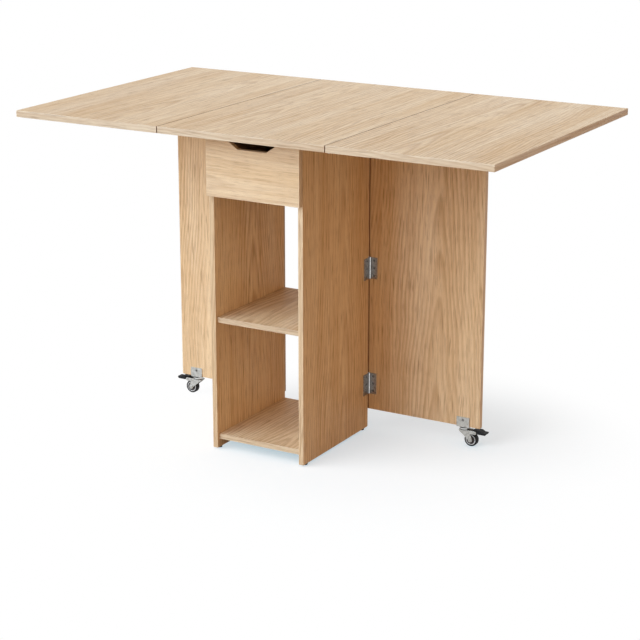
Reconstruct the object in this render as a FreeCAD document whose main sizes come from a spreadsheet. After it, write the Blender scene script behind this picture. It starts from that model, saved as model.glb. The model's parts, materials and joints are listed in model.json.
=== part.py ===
import FreeCAD, Part
import os
import re
import Sketcher

# Kitchen table with two drop leaves, two swinging support gates on casters
# and a narrow storage cabinet with a drawer and two open bays.
# Millimetres, X along the length, Y to the back, Z up, floor at zero.

SIZES = {
    # Tabletop
    "table_height": 750, "top_thickness": 15, "table_depth": 720,
    "center_width": 420, "leaf_length": 386, "seam_gap": 1.5,
    # Cabinet
    "cabinet_width": 239, "cabinet_depth": 299, "panel_thickness": 12,
    "front_overhang": 65, "shelf_setback": 6, "shelf_thickness": 12,
    "middle_shelf_top": 314, "bottom_shelf_top": 37, "back_rail_height": 115,
    # Glide feet
    "foot_height": 4, "foot_radius": 5.5, "foot_rounding": 1.2, "foot_inset": 18,
    "nail_radius": 1.1, "nail_length": 14,
    # Dowels
    "dowel_radius": 3, "dowel_length": 30, "dowel_socket": 8, "dowel_play": 0.05,
    "dowel_inset": 45, "rail_dowel_inset": 25, "drawer_dowel_inset": 25,
    # Countersunk screws
    "screw_radius": 1.5, "screw_length": 9, "screw_head_radius": 3,
    "screw_head_height": 1.2, "screw_play": 0.1,
    # Steel angles under the top
    "angle_leg": 24, "angle_width": 28, "angle_sheet": 2, "angle_inset": 60,
    "angle_screw_reach": 14,
    # Drawer
    "drawer_front_width": 237, "drawer_front_height": 137, "drawer_front_thickness": 12,
    "drawer_front_gap": 1, "drawer_top_gap": 2, "drawer_board": 12, "drawer_rear_gap": 18,
    "drawer_side_height": 88, "drawer_side_rise": 16, "drawer_floor_thickness": 3,
    "drawer_floor_rise": 8, "groove_depth": 5, "groove_play": 0.2,
    # Finger notch of the drawer
    "notch_top_width": 148, "notch_bottom_width": 72, "notch_depth": 26, "notch_rounding": 5,
    # Drawer runners
    "runner_space": 12.5, "runner_height": 35, "runner_sheet": 1.2, "runner_flange": 10,
    "runner_setback": 4, "runner_rear_gap": 3, "runner_screw_inset": 40, "slide_play": 0.5,
    # Gates
    "gate_length": 292.5, "gate_thickness": 12, "gate_bottom": 47, "gate_top_gap": 0.5,
    "gate_end_gap": 0.4, "gate_pin_offset": 0.6, "gate_pin_setback": 5,
    # Butt hinges
    "hinge_length": 51, "hinge_reach": 19, "hinge_long_reach": 28, "hinge_sheet": 1.2,
    "hinge_plate_gap": 0.4, "hinge_pin_radius": 1.2, "hinge_pin_play": 0.05,
    "hinge_screw_spread": 36, "knuckle_radius": 2.2, "knuckle_gap": 0.3, "knuckle_play": 0.3,
    "gate_hinge_inset": 63.75, "gate_hinge_top_inset": 44,
    "leaf_hinge_inset": 42, "leaf_pin_offset": 2.5,
    # Caster bracket and swivel
    "caster_inset": 42, "caster_setback": 9, "plate_width": 32, "plate_height": 24,
    "plate_sheet": 2, "flange_depth": 21, "plate_screw_drop": 7, "race_radius": 12.2,
    "race_height": 6.5, "crown_gap": 0.3, "crown_thickness": 2.5, "crown_reach": 11,
    "kingpin_radius": 3, "kingpin_head_radius": 5, "kingpin_head_height": 1.2,
    # Caster fork and wheel
    "wheel_radius": 16, "wheel_width": 13, "wheel_trail": 18, "tyre_rounding": 2.5,
    "rim_radius": 12.3, "rim_width": 12, "hub_radius": 10.4, "hub_width": 11,
    "cheek_sheet": 2, "cheek_gap": 0.8, "axle_radius": 2.5, "axle_head_radius": 4,
    "axle_head_height": 1, "axle_lobe_radius": 5.5, "running_play": 0.05,
    # Brake pedal
    "pivot_out": 11, "pivot_rise": 18.6, "pivot_lobe_radius": 4, "pivot_pin_radius": 1.5,
    "pivot_head_radius": 2.6, "pivot_head_height": 0.8, "pedal_back": 4, "pedal_rise": 7.4,
    "pedal_drop": 2.1, "pedal_neck": 6, "pedal_flat": 13, "pedal_step": 20, "pedal_reach": 28,
    "pedal_tip_rise": 3.4, "pedal_tip_cut": 2.5, "pedal_neck_width": 13, "pedal_width": 17,
    # Cuts run this far past the faces they open, and edges are picked out this closely
    "overrun": 1, "edge_tolerance": 0.1,
}
KNUCKLES = 5

doc = FreeCAD.newDocument("KitchenTable")
sheet = doc.addObject("Spreadsheet::Sheet", "dims")
for row, (alias, value) in enumerate(SIZES.items(), start=1):
    sheet.set(f"A{row}", alias)
    sheet.set(f"B{row}", str(value))
    sheet.setAlias(f"B{row}", alias)
doc.recompute()

# Helpers that bind shapes to the sheet

WORD = re.compile(r"[a-z][a-z_]*")
VECTOR = FreeCAD.Vector
ALONG = {
    "x": (VECTOR(0, 1, 0), 90), "-x": (VECTOR(0, 1, 0), -90),
    "y": (VECTOR(1, 0, 0), -90), "-y": (VECTOR(1, 0, 0), 90),
    "z": (VECTOR(0, 0, 1), 0), "-z": (VECTOR(1, 0, 0), 180),
}
ORIGIN = ("0", "0", "0")
nodes = []


def formula(text):
    """Turn the size names in a sum into references to the sheet's cells."""
    def cell(found):
        word = found.group(0)
        return f"dims.{word}" if word in SIZES else word
    return WORD.sub(cell, str(text))


def size(text):
    """The present value of a sum of sizes."""
    return float(sheet.evalExpression(formula(text)))


def bind(thing, **sums):
    """Bind properties of an object to sums of sizes."""
    for name, text in sums.items():
        thing.setExpression(name, formula(text))


def place(thing, at, turn=None):
    """Turn an object by an axis and angle and bind its place to three sums."""
    if turn:
        thing.Placement = FreeCAD.Placement(VECTOR(), FreeCAD.Rotation(*turn))
    for axis, text in zip("xyz", at):
        thing.setExpression(f"Placement.Base.{axis}", formula(text))
    return thing


def box(name, low, high):
    """A block between two opposite corners."""
    block = doc.addObject("Part::Box", name)
    length, width, height = (f"({b}) - ({a})" for a, b in zip(low, high))
    bind(block, Length=length, Width=width, Height=height)
    return place(block, low)


def rod(name, radius, length, at, along):
    """A cylinder that starts at a point and runs along an axis."""
    cylinder = doc.addObject("Part::Cylinder", name)
    bind(cylinder, Radius=radius, Height=length)
    return place(cylinder, at, ALONG[along])


def cone(name, start_radius, end_radius, length, at, along):
    """A tapered rod."""
    taper = doc.addObject("Part::Cone", name)
    bind(taper, Radius1=start_radius, Radius2=end_radius, Height=length)
    return place(taper, at, ALONG[along])


def fuse(name, shapes):
    """Several touching shapes as one solid."""
    union = doc.addObject("Part::MultiFuse", name)
    union.Shapes = shapes
    union.Refine = True
    return union


def group(name, shapes):
    """Several separate solids kept together."""
    bundle = doc.addObject("Part::Compound", name)
    bundle.Links = shapes
    return bundle


def cut(name, base, tools):
    """A shape with tools taken out of it."""
    hollowed = doc.addObject("Part::Cut", name)
    hollowed.Base = base
    hollowed.Tool = tools[0] if len(tools) == 1 else group(f"{name}_tools", tools)
    return hollowed


def placed(name, template, at, turn=None):
    """A copy of a template, turned and set in its place."""
    return place(group(name, [template]), at, turn)


def mirrored(name, source):
    """The left-hand twin of a right-hand shape."""
    twin = doc.addObject("Part::Mirroring", name)
    twin.Source = source
    twin.Normal = VECTOR(1, 0, 0)
    return twin


def rounded(name, base, radius, chosen):
    """Round the edges of a shape that the test picks."""
    doc.recompute()
    softened = doc.addObject("Part::Fillet", name)
    softened.Base = base
    edges = enumerate(base.Shape.Edges, start=1)
    softened.Edges = [(n, size(radius), size(radius)) for n, edge in edges if chosen(edge)]
    return softened


def padded(name, points, width, at):
    """An outline in the XZ plane, padded by half its width to each side."""
    body = doc.addObject("PartDesign::Body", name)
    sketch = body.newObject("Sketcher::SketchObject", f"{name}_outline")
    plane = next(f for f in body.Origin.OriginFeatures if f.Role == "XZ_Plane")
    sketch.AttachmentSupport = [(plane, "")]
    sketch.MapMode = "FlatFace"
    corners = [VECTOR(size(x), size(z), 0) for x, z in points]
    for start, end in zip(corners, corners[1:] + corners[:1]):
        sketch.addGeometry(Part.LineSegment(start, end))
    for n in range(len(points)):
        sketch.addConstraint(Sketcher.Constraint("Coincident", n, 2, (n + 1) % len(points), 1))
    for n, (point, corner) in enumerate(zip(points, corners)):
        for kind, text, value in zip(("DistanceX", "DistanceY"), point, corner):
            index = sketch.addConstraint(Sketcher.Constraint(kind, -1, 1, n, 1, value))
            sketch.setExpression(f"Constraints[{index}]", formula(text))
    pad = body.newObject("PartDesign::Pad", f"{name}_pad")
    pad.Profile = sketch
    pad.SideType = "Symmetric"
    bind(pad, Length=width)
    return place(body, at)


def node(name, shape):
    """Name a finished sub-part, so that it is written to its own file."""
    shape.Label = name
    nodes.append(shape)
    return shape


def twins(name, right):
    """Register a right-hand sub-part and its left-hand twin."""
    node(f"{name}_right", right)
    return node(f"{name}_left", mirrored(f"{name}_left", right))


# Named places, as sums of the sizes

underside = "(table_height - top_thickness)"
top_front = "(-table_depth / 2)"
top_back = "(table_depth / 2)"
center_edge = "(center_width / 2)"
seam_x = f"({center_edge} + seam_gap / 2)"
leaf_start = f"({center_edge} + seam_gap)"
cabinet_front = f"({top_front} + front_overhang)"
cabinet_back = f"({cabinet_front} + cabinet_depth)"
outer = "(cabinet_width / 2)"
inner = f"({outer} - panel_thickness)"
shelf_front = f"({cabinet_front} + shelf_setback)"
rail_front = f"({cabinet_back} - panel_thickness)"
rail_bottom = f"({underside} - back_rail_height)"
gate_pin_x = f"({outer} + gate_pin_offset)"
gate_pin_y = f"({cabinet_back} + gate_pin_setback)"
gate_front = f"({gate_pin_y} + gate_pin_offset)"
gate_start = f"({gate_pin_x} - gate_pin_setback + gate_end_gap)"
gate_end = f"({gate_start} + gate_length)"
gate_top = f"({underside} - gate_top_gap)"
gate_middle = f"((gate_bottom + {gate_top}) / 2)"
front_back = f"({cabinet_front} - drawer_front_gap)"
front_top = f"({underside} - drawer_top_gap)"
front_bottom = f"({front_top} - drawer_front_height)"
drawer_outer = f"({inner} - runner_space)"
drawer_inner = f"({drawer_outer} - drawer_board)"
drawer_rear = f"({rail_front} - drawer_rear_gap)"
side_bottom = f"({front_bottom} + drawer_side_rise)"
side_top = f"({side_bottom} + drawer_side_height)"
floor_bottom = f"({side_bottom} + drawer_floor_rise)"
floor_top = f"({floor_bottom} + drawer_floor_thickness)"
runner_middle = f"(({side_bottom} + {side_top}) / 2)"

# Fastener templates


def screw(name, at, along, play="0"):
    """A countersunk wood screw whose head face lies at the point given."""
    head = cone(f"{name}_head", f"screw_head_radius + {play}", f"screw_radius + {play}",
                "screw_head_height", at, along)
    shank = rod(f"{name}_shank", f"screw_radius + {play}", f"screw_length + {play}", at, along)
    return fuse(name, [head, shank])


def screws_and_holes(name, places):
    """The screws at the places given, and the holes that they need."""
    driven = [screw(f"{name}_{n}", at, along) for n, (at, along) in enumerate(places)]
    holes = [screw(f"{name}_hole_{n}", at, along, "screw_play")
             for n, (at, along) in enumerate(places)]
    return group(f"{name}_set", driven), group(f"{name}_holes", holes)


def dowels_and_holes(name, places):
    """Dowels that start at the bottom of their sockets, and the holes for them."""
    pegs = [rod(f"{name}_{n}", "dowel_radius", "dowel_length", at, along)
            for n, (at, along) in enumerate(places)]
    holes = [rod(f"{name}_hole_{n}", "dowel_radius + dowel_play", "dowel_length + dowel_play",
                 at, along) for n, (at, along) in enumerate(places)]
    return group(f"{name}_set", pegs), group(f"{name}_holes", holes)


# Butt hinge templates: pin along local Z, plate along local X, board beyond local Y

plate_start = "(knuckle_radius + hinge_plate_gap)"


def hinge_half(name, first, offset, reach):
    """A plate with every second knuckle, its screws and their holes, by the pin's offset from the board."""
    plate_face = f"({offset} - hinge_sheet)"
    screws, holes = screws_and_holes(f"{name}_screw", [
        ((f"({plate_start} + {reach}) / 2", plate_face, f"{side} * hinge_screw_spread / 2"), "y")
        for side in (-1, 0, 1)])
    solids = [box(f"{name}_plate", (plate_start, plate_face, "-hinge_length / 2"),
                  (reach, offset, "hinge_length / 2"))]
    for k in range(first, KNUCKLES, 2):
        low = f"(hinge_length * ({k} / {KNUCKLES} - 1 / 2) + knuckle_gap / 2)"
        tall = f"(hinge_length / {KNUCKLES} - knuckle_gap)"
        solids.append(rod(f"{name}_knuckle_{k}", "knuckle_radius", tall, ("0", "0", low), "z"))
        solids.append(box(f"{name}_tongue_{k}", ("0", plate_face, low),
                          (plate_start, offset, f"{low} + {tall}")))
    bore = rod(f"{name}_bore", "hinge_pin_radius + hinge_pin_play", "hinge_length + 2 * overrun",
               ("0", "0", "-hinge_length / 2 - overrun"), "z")
    return cut(name, fuse(f"{name}_blank", solids), [bore, holes]), screws, holes


gate_fixed_half = hinge_half("gate_fixed_half", 0, "gate_pin_offset", "hinge_long_reach")
gate_moving_half = hinge_half("gate_moving_half", 1, "gate_pin_offset", "hinge_reach")
leaf_fixed_half = hinge_half("leaf_fixed_half", 0, "leaf_pin_offset", "hinge_reach")
leaf_moving_half = hinge_half("leaf_moving_half", 1, "leaf_pin_offset", "hinge_reach")
hinge_pin = rod("hinge_pin", "hinge_pin_radius", "hinge_length",
                ("0", "0", "-hinge_length / 2"), "z")


def hinge_row(name, template, spots, turn):
    """Copies of a hinge template at each spot of a row."""
    return group(name, [placed(f"{name}_{n}", template, at, turn) for n, at in enumerate(spots)])


def hinge_rows(name, half, spots, turn):
    """The plates, screws and screw holes of one half of each hinge in a row."""
    kinds = ("right", "screws", "holes")
    return [hinge_row(f"{name}_{kind}", template, spots, turn) for kind, template in zip(kinds, half)]


# Hinge rows of the right-hand gate and leaf

AS_DRAWN = None
GATE_FIXED = (VECTOR(1, -1, 0), 180)
LEAF_MOVING = (VECTOR(1, 0, 0), 90)
LEAF_FIXED = (VECTOR(0, 1, 1), 180)
gate_levels = ["gate_bottom + gate_hinge_inset", gate_middle, f"{gate_top} - gate_hinge_top_inset"]
gate_spots = [(gate_pin_x, gate_pin_y, z) for z in gate_levels]
leaf_spots = [(seam_x, f"{side} * ({top_back} - leaf_hinge_inset)",
               f"{underside} - leaf_pin_offset") for side in (-1, 1)]
gate_fixed, gate_fixed_screws, gate_fixed_holes = hinge_rows(
    "gate_hinge_fixed", gate_fixed_half, gate_spots, GATE_FIXED)
gate_moving, gate_moving_screws, gate_moving_holes = hinge_rows(
    "gate_hinge_moving", gate_moving_half, gate_spots, AS_DRAWN)
leaf_fixed, leaf_fixed_screws, leaf_fixed_holes = hinge_rows(
    "leaf_hinge_fixed", leaf_fixed_half, leaf_spots, LEAF_FIXED)
leaf_moving, leaf_moving_screws, leaf_moving_holes = hinge_rows(
    "leaf_hinge_moving", leaf_moving_half, leaf_spots, LEAF_MOVING)
gate_pins = hinge_row("gate_pins_right", hinge_pin, gate_spots, AS_DRAWN)
leaf_pins = hinge_row("leaf_pins_right", hinge_pin, leaf_spots, LEAF_MOVING)

# Steel angles that hold the top on the side panels

angle_places = [f"({cabinet_front} + angle_inset)", f"({cabinet_back} - angle_inset)"]
angle_screws, angle_holes = screws_and_holes("angle_screw", [
    place_and_axis for y in angle_places for place_and_axis in (
        ((f"{inner} - angle_sheet", y, f"{underside} - angle_screw_reach"), "x"),
        ((f"{inner} - angle_screw_reach", y, f"{underside} - angle_sheet"), "z"))])


def angle(name, y):
    """One steel angle in the corner of the side panel and the top."""
    low, high = f"{y} - angle_width / 2", f"{y} + angle_width / 2"
    upright = box(f"{name}_upright", (f"{inner} - angle_sheet", low, f"{underside} - angle_leg"),
                  (inner, high, underside))
    flat = box(f"{name}_flat", (f"{inner} - angle_leg", low, f"{underside} - angle_sheet"),
               (inner, high, underside))
    return cut(name, fuse(f"{name}_blank", [upright, flat]), [angle_holes])


angles_right = group("angles_right", [angle(f"angle_{n}", y) for n, y in enumerate(angle_places)])
node("top_angles", group("top_angles", [angles_right, mirrored("angles_left", angles_right)]))

# Drawer runner on the side panel and slide on the drawer

runner_front = f"({cabinet_front} + runner_setback)"
runner_back = f"({drawer_rear} - runner_rear_gap)"
runner_half = "(runner_height / 2)"
slide_half = f"({runner_half} - runner_sheet - slide_play)"
slide_face = f"({inner} - runner_sheet - slide_play)"
runner_spots = [f"({runner_front} + runner_screw_inset)", f"({runner_back} - runner_screw_inset)"]
runner_screws, runner_holes = screws_and_holes("runner_screw", [
    ((f"{inner} - runner_sheet", y, runner_middle), "x") for y in runner_spots])
slide_screws, slide_holes = screws_and_holes("slide_screw", [
    ((f"{drawer_outer} + runner_sheet", y, runner_middle), "-x") for y in runner_spots])
runner_low, runner_high = f"{runner_middle} - {runner_half}", f"{runner_middle} + {runner_half}"
slide_low, slide_high = f"{runner_middle} - {slide_half}", f"{runner_middle} + {slide_half}"
runner_blank = box("runner_blank", (f"{inner} - runner_flange", runner_front, runner_low),
                   (inner, runner_back, runner_high))
runner_channel = box(
    "runner_channel",
    (f"{inner} - runner_flange - overrun", f"{runner_front} - overrun", f"{runner_low} + runner_sheet"),
    (f"{inner} - runner_sheet", f"{runner_back} + overrun", f"{runner_high} - runner_sheet"))
twins("runner", cut("runner_right", runner_blank, [runner_channel, runner_holes]))
slide_blank = box("slide_blank", (drawer_outer, runner_front, slide_low),
                  (slide_face, runner_back, slide_high))
slide_channel = box(
    "slide_channel",
    (f"{drawer_outer} + runner_sheet", f"{runner_front} - overrun", f"{slide_low} + runner_sheet"),
    (f"{slide_face} + overrun", f"{runner_back} + overrun", f"{slide_high} - runner_sheet"))
twins("slide", cut("slide_right", slide_blank, [slide_channel, slide_holes]))

# Dowels of the shelves and the back rail, on the right-hand side

socket_end = f"({inner} + dowel_socket)"
shelf_levels = ["(middle_shelf_top - shelf_thickness / 2)", "(bottom_shelf_top - shelf_thickness / 2)"]
shelf_rows = [f"({shelf_front} + dowel_inset)", f"({cabinet_back} - dowel_inset)"]
rail_levels = [f"({rail_bottom} + rail_dowel_inset)", f"({underside} - rail_dowel_inset)"]
rail_row = f"({cabinet_back} - panel_thickness / 2)"
panel_dowels, panel_dowel_holes = dowels_and_holes(
    "panel_dowel",
    [((socket_end, y, z), "-x") for z in shelf_levels for y in shelf_rows]
    + [((socket_end, rail_row, z), "-x") for z in rail_levels])
panel_dowel_holes_left = mirrored("panel_dowel_holes_left", panel_dowel_holes)
node("panel_dowels", group("panel_dowels", [
    panel_dowels, mirrored("panel_dowels_left", panel_dowels)]))

# Glide feet with their nails


def at_foot_rim(edge):
    """True for the ring round the foot's lower face."""
    return edge.isClosed() and abs(edge.CenterOfMass.z) < size("edge_tolerance")


foot_disc = rod("foot_disc", "foot_radius", "foot_height", ORIGIN, "z")
foot_pad = rounded("foot_pad", foot_disc, "foot_rounding", at_foot_rim)
foot_nail = rod("foot_nail", "nail_radius", "nail_length", ("0", "0", "foot_height"), "z")
foot = fuse("foot", [foot_pad, foot_nail])
foot_x = f"({outer} - panel_thickness / 2)"
foot_rows = {"front": f"({cabinet_front} + foot_inset)", "back": f"({cabinet_back} - foot_inset)"}
nail_holes = []
for row_name, y in foot_rows.items():
    right_foot = placed(f"foot_{row_name}_right", foot, (foot_x, y, "0"))
    twins(f"foot_{row_name}", right_foot)
    nail_holes.append(rod(f"nail_hole_{row_name}", "nail_radius + dowel_play",
                          "nail_length + dowel_play", (foot_x, y, "foot_height"), "z"))

# Cabinet panels

side_blank = box("side_blank", (inner, cabinet_front, "foot_height"), (outer, cabinet_back, underside))
side_panel = cut("side_panel_right", side_blank,
                 [panel_dowel_holes, gate_fixed_holes, runner_holes, angle_holes] + nail_holes)
twins("side_panel", side_panel)


def shelf(name, top):
    """A shelf between the side panels."""
    blank = box(f"{name}_blank", (f"-{inner}", shelf_front, f"{top} - shelf_thickness"),
                (inner, cabinet_back, top))
    return node(name, cut(name, blank, [panel_dowel_holes, panel_dowel_holes_left]))


shelf("middle_shelf", "middle_shelf_top")
shelf("bottom_shelf", "bottom_shelf_top")
rail_blank = box("rail_blank", (f"-{inner}", rail_front, rail_bottom), (inner, cabinet_back, underside))
node("back_rail", cut("back_rail", rail_blank, [panel_dowel_holes, panel_dowel_holes_left]))

# Tabletop

center_holes = [leaf_fixed_holes, mirrored("leaf_fixed_holes_left", leaf_fixed_holes),
                angle_holes, mirrored("angle_holes_left", angle_holes)]
center_blank = box("center_blank", (f"-{center_edge}", top_front, underside),
                   (center_edge, top_back, "table_height"))
node("top_center", cut("top_center", center_blank, center_holes))
leaf_blank = box("leaf_blank", (leaf_start, top_front, underside),
                 (f"{leaf_start} + leaf_length", top_back, "table_height"))
twins("leaf", cut("leaf_right", leaf_blank, [leaf_moving_holes]))

# Hinges of the leaves and gates

twins("leaf_hinge_fixed", leaf_fixed)
twins("leaf_hinge_moving", leaf_moving)
twins("gate_hinge_fixed", gate_fixed)
twins("gate_hinge_moving", gate_moving)
node("leaf_hinge_pins", group("leaf_hinge_pins", [leaf_pins, mirrored("leaf_pins_left", leaf_pins)]))
node("gate_hinge_pins", group("gate_hinge_pins", [gate_pins, mirrored("gate_pins_left", gate_pins)]))
fixed_screws_right = group("fixed_screws_right", [gate_fixed_screws, leaf_fixed_screws])
node("hinge_screws_fixed", group("hinge_screws_fixed", [
    fixed_screws_right, mirrored("fixed_screws_left", fixed_screws_right)]))
cabinet_screws_right = group("cabinet_screws_right", [angle_screws, runner_screws])
node("cabinet_screws", group("cabinet_screws", [
    cabinet_screws_right, mirrored("cabinet_screws_left", cabinet_screws_right)]))
twins("leaf_screws", group("leaf_screws_right", [leaf_moving_screws]))

# Drawer box

side_middle = f"(({drawer_inner} + {drawer_outer}) / 2)"
front_dowel_levels = [f"({side_bottom} + drawer_dowel_inset)", f"({side_top} - drawer_dowel_inset)"]
back_dowel_levels = [f"({floor_top} + drawer_dowel_inset)", f"({side_top} - drawer_dowel_inset)"]
back_row = f"({drawer_rear} - drawer_board / 2)"
drawer_dowels, drawer_dowel_holes = dowels_and_holes(
    "drawer_dowel",
    [((side_middle, f"{front_back} - dowel_socket", z), "y") for z in front_dowel_levels]
    + [((f"{drawer_inner} + dowel_socket", back_row, z), "-x") for z in back_dowel_levels])
drawer_dowel_holes_left = mirrored("drawer_dowel_holes_left", drawer_dowel_holes)
node("drawer_dowels", group("drawer_dowels", [
    drawer_dowels, mirrored("drawer_dowels_left", drawer_dowels)]))
node("slide_screws", group("slide_screws", [
    slide_screws, mirrored("slide_screws_left", slide_screws)]))
groove_reach = f"({drawer_inner} + groove_depth)"
floor_reach = f"({groove_reach} - groove_play)"
floor_groove = box(
    "floor_groove",
    (f"-{groove_reach}", f"{front_back} - groove_depth", f"{floor_bottom} - groove_play"),
    (groove_reach, f"{drawer_rear} + overrun", f"{floor_top} + groove_play"))
drawer_side_blank = box("drawer_side_blank", (drawer_inner, front_back, side_bottom),
                        (drawer_outer, drawer_rear, side_top))
drawer_side_holes = [floor_groove, drawer_dowel_holes, slide_holes]
twins("drawer_side", cut("drawer_side_right", drawer_side_blank, drawer_side_holes))
drawer_back_blank = box("drawer_back_blank",
                        (f"-{drawer_inner}", f"{drawer_rear} - drawer_board", floor_top),
                        (drawer_inner, drawer_rear, side_top))
node("drawer_back", cut("drawer_back", drawer_back_blank, [drawer_dowel_holes, drawer_dowel_holes_left]))
node("drawer_floor", box(
    "drawer_floor",
    (f"-{floor_reach}", f"{front_back} - groove_depth + groove_play", floor_bottom),
    (floor_reach, drawer_rear, floor_top)))

# Drawer front with its finger notch

notch_floor = f"({front_top} - notch_depth)"
front_half = "(drawer_front_width / 2)"
front_points = [
    (f"-{front_half}", front_bottom), (front_half, front_bottom), (front_half, front_top),
    ("notch_top_width / 2", front_top), ("notch_bottom_width / 2", notch_floor),
    ("-notch_bottom_width / 2", notch_floor), ("-notch_top_width / 2", front_top),
    (f"-{front_half}", front_top)]
front_blank = padded("front_blank", front_points, "drawer_front_thickness",
                     ("0", f"{front_back} - drawer_front_thickness / 2", "0"))


def at_notch_corner(edge):
    """True for the two edges where the notch's floor meets its slopes."""
    middle = edge.CenterOfMass
    off_side = abs(abs(middle.x) - size("notch_bottom_width / 2"))
    off_floor = abs(middle.z - size(notch_floor))
    return max(off_side, off_floor) < size("edge_tolerance")


front_rounded = rounded("front_rounded", front_blank, "notch_rounding", at_notch_corner)
node("drawer_front", cut("drawer_front", front_rounded,
                         [floor_groove, drawer_dowel_holes, drawer_dowel_holes_left]))

# Caster bracket on the gate, with its race and kingpin

swivel_x = f"({gate_end} - caster_inset)"
swivel_y = f"({gate_front} + caster_setback)"
flange_bottom = "(gate_bottom - plate_sheet)"
race_bottom = f"({flange_bottom} - race_height)"
crown_top = f"({race_bottom} - crown_gap)"
crown_bottom = f"({crown_top} - crown_thickness)"
plate_low, plate_high = f"{swivel_x} - plate_width / 2", f"{swivel_x} + plate_width / 2"
plate_front = f"({gate_front} - plate_sheet)"
plate_top = f"({flange_bottom} + plate_height)"
plate_screw, plate_hole = screws_and_holes("plate_screw", [
    ((swivel_x, plate_front, f"{plate_top} - plate_screw_drop"), "y")])
bracket_leg = box("bracket_leg", (plate_low, plate_front, flange_bottom),
                  (plate_high, gate_front, plate_top))
bracket_flange = box("bracket_flange", (plate_low, plate_front, flange_bottom),
                     (plate_high, f"{gate_front} + flange_depth", "gate_bottom"))
bracket_blank = fuse("bracket_blank", [bracket_leg, bracket_flange])
twins("caster_bracket", cut("caster_bracket_right", bracket_blank, [plate_hole]))
kingpin_bottom = f"({crown_bottom} - crown_gap - kingpin_head_height)"
race = rod("race", "race_radius", "race_height", (swivel_x, swivel_y, race_bottom), "z")
kingpin = rod("kingpin", "kingpin_radius", f"{race_bottom} - {kingpin_bottom}",
              (swivel_x, swivel_y, kingpin_bottom), "z")
kingpin_head = rod("kingpin_head", "kingpin_head_radius", "kingpin_head_height",
                   (swivel_x, swivel_y, kingpin_bottom), "z")
twins("caster_race", fuse("caster_race_right", [race, kingpin, kingpin_head]))

# Gates, with a recess at their hinge end for each barrel

barrel_room = "(knuckle_radius + knuckle_play)"
barrel_recess = box(
    "barrel_recess",
    ("gate_end_gap - gate_pin_setback - overrun", "0", "-hinge_length / 2 - knuckle_play"),
    (barrel_room, barrel_room, "hinge_length / 2 + knuckle_play"))
barrel_recesses = hinge_row("barrel_recesses", barrel_recess, gate_spots, AS_DRAWN)
gate_blank = box("gate_blank", (gate_start, gate_front, "gate_bottom"),
                 (gate_end, f"{gate_front} + gate_thickness", gate_top))
twins("gate", cut("gate_right", gate_blank, [barrel_recesses, gate_moving_holes, plate_hole]))
twins("gate_screws", group("gate_screws_right", [gate_moving_screws, plate_screw]))

# Caster fork with axle and pedal pin

axle_x = f"({swivel_x} + wheel_trail)"
axle_z = "wheel_radius"
pivot_x = f"({axle_x} + pivot_out)"
pivot_z = f"({axle_z} + pivot_rise)"
cheek_inner = "(wheel_width / 2 + cheek_gap)"
cheek_outer = f"({cheek_inner} + cheek_sheet)"
cheek_middle = f"({cheek_inner} + cheek_sheet / 2)"
arm_bottom = f"{pivot_z} - pivot_lobe_radius"
cheek_points = [
    (f"{swivel_x} - crown_reach", crown_top), (f"{swivel_x} + crown_reach", crown_top),
    (pivot_x, f"{pivot_z} + pivot_lobe_radius"), (pivot_x, arm_bottom), (axle_x, arm_bottom),
    (f"{axle_x} + axle_lobe_radius", axle_z), (f"{axle_x} - axle_lobe_radius", axle_z),
    (f"{swivel_x} - crown_reach", crown_bottom)]


def cross_rod(name, radius, half, x, z):
    """A rod along Y through the caster, reaching equally far to both sides."""
    return rod(name, radius, f"2 * {half}", (x, f"{swivel_y} - {half}", z), "y")


fork_solids = [box("crown", (f"{swivel_x} - crown_reach", f"{swivel_y} - {cheek_outer}", crown_bottom),
                   (f"{swivel_x} + crown_reach", f"{swivel_y} + {cheek_outer}", crown_top))]
for side_name, sign in (("near", "-"), ("far", "+")):
    cheek_y = f"{swivel_y} {sign} {cheek_middle}"
    lobe_start = f"{cheek_y} - cheek_sheet / 2"
    fork_solids += [
        padded(f"cheek_{side_name}", cheek_points, "cheek_sheet", ("0", cheek_y, "0")),
        rod(f"axle_lobe_{side_name}", "axle_lobe_radius", "cheek_sheet",
            (axle_x, lobe_start, axle_z), "y"),
        rod(f"pivot_lobe_{side_name}", "pivot_lobe_radius", "cheek_sheet",
            (pivot_x, lobe_start, pivot_z), "y")]
bore_half = f"({cheek_outer} + overrun)"
fork_bores = [
    rod("kingpin_bore", "kingpin_radius + running_play", "crown_thickness + 2 * overrun",
        (swivel_x, swivel_y, f"{crown_bottom} - overrun"), "z"),
    cross_rod("axle_bore", "axle_radius + running_play", bore_half, axle_x, axle_z),
    cross_rod("pivot_bore", "pivot_pin_radius + running_play", bore_half, pivot_x, pivot_z)]
twins("caster_fork", cut("caster_fork_right", fuse("fork_blank", fork_solids), fork_bores))


def rivet(name, radius, head_radius, head_height, x, z):
    """A pin through both cheeks with a flat head outside each."""
    shank = cross_rod(f"{name}_shank", radius, cheek_outer, x, z)
    near_head = rod(f"{name}_head_near", head_radius, head_height,
                    (x, f"{swivel_y} - {cheek_outer}", z), "-y")
    far_head = rod(f"{name}_head_far", head_radius, head_height,
                   (x, f"{swivel_y} + {cheek_outer}", z), "y")
    return fuse(name, [shank, near_head, far_head])


axle = rivet("axle", "axle_radius", "axle_head_radius", "axle_head_height", axle_x, axle_z)
pedal_pin = rivet("pedal_pin", "pivot_pin_radius", "pivot_head_radius", "pivot_head_height",
                  pivot_x, pivot_z)
twins("caster_pins", group("caster_pins_right", [axle, pedal_pin]))

# Caster wheel


def ring(name, radius, hole, width):
    """A disc about the axle with a hole through it."""
    disc = cross_rod(f"{name}_disc", radius, f"({width} / 2)", axle_x, axle_z)
    bore = cross_rod(f"{name}_bore", hole, f"({width} / 2 + overrun)", axle_x, axle_z)
    return cut(name, disc, [bore])


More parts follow.
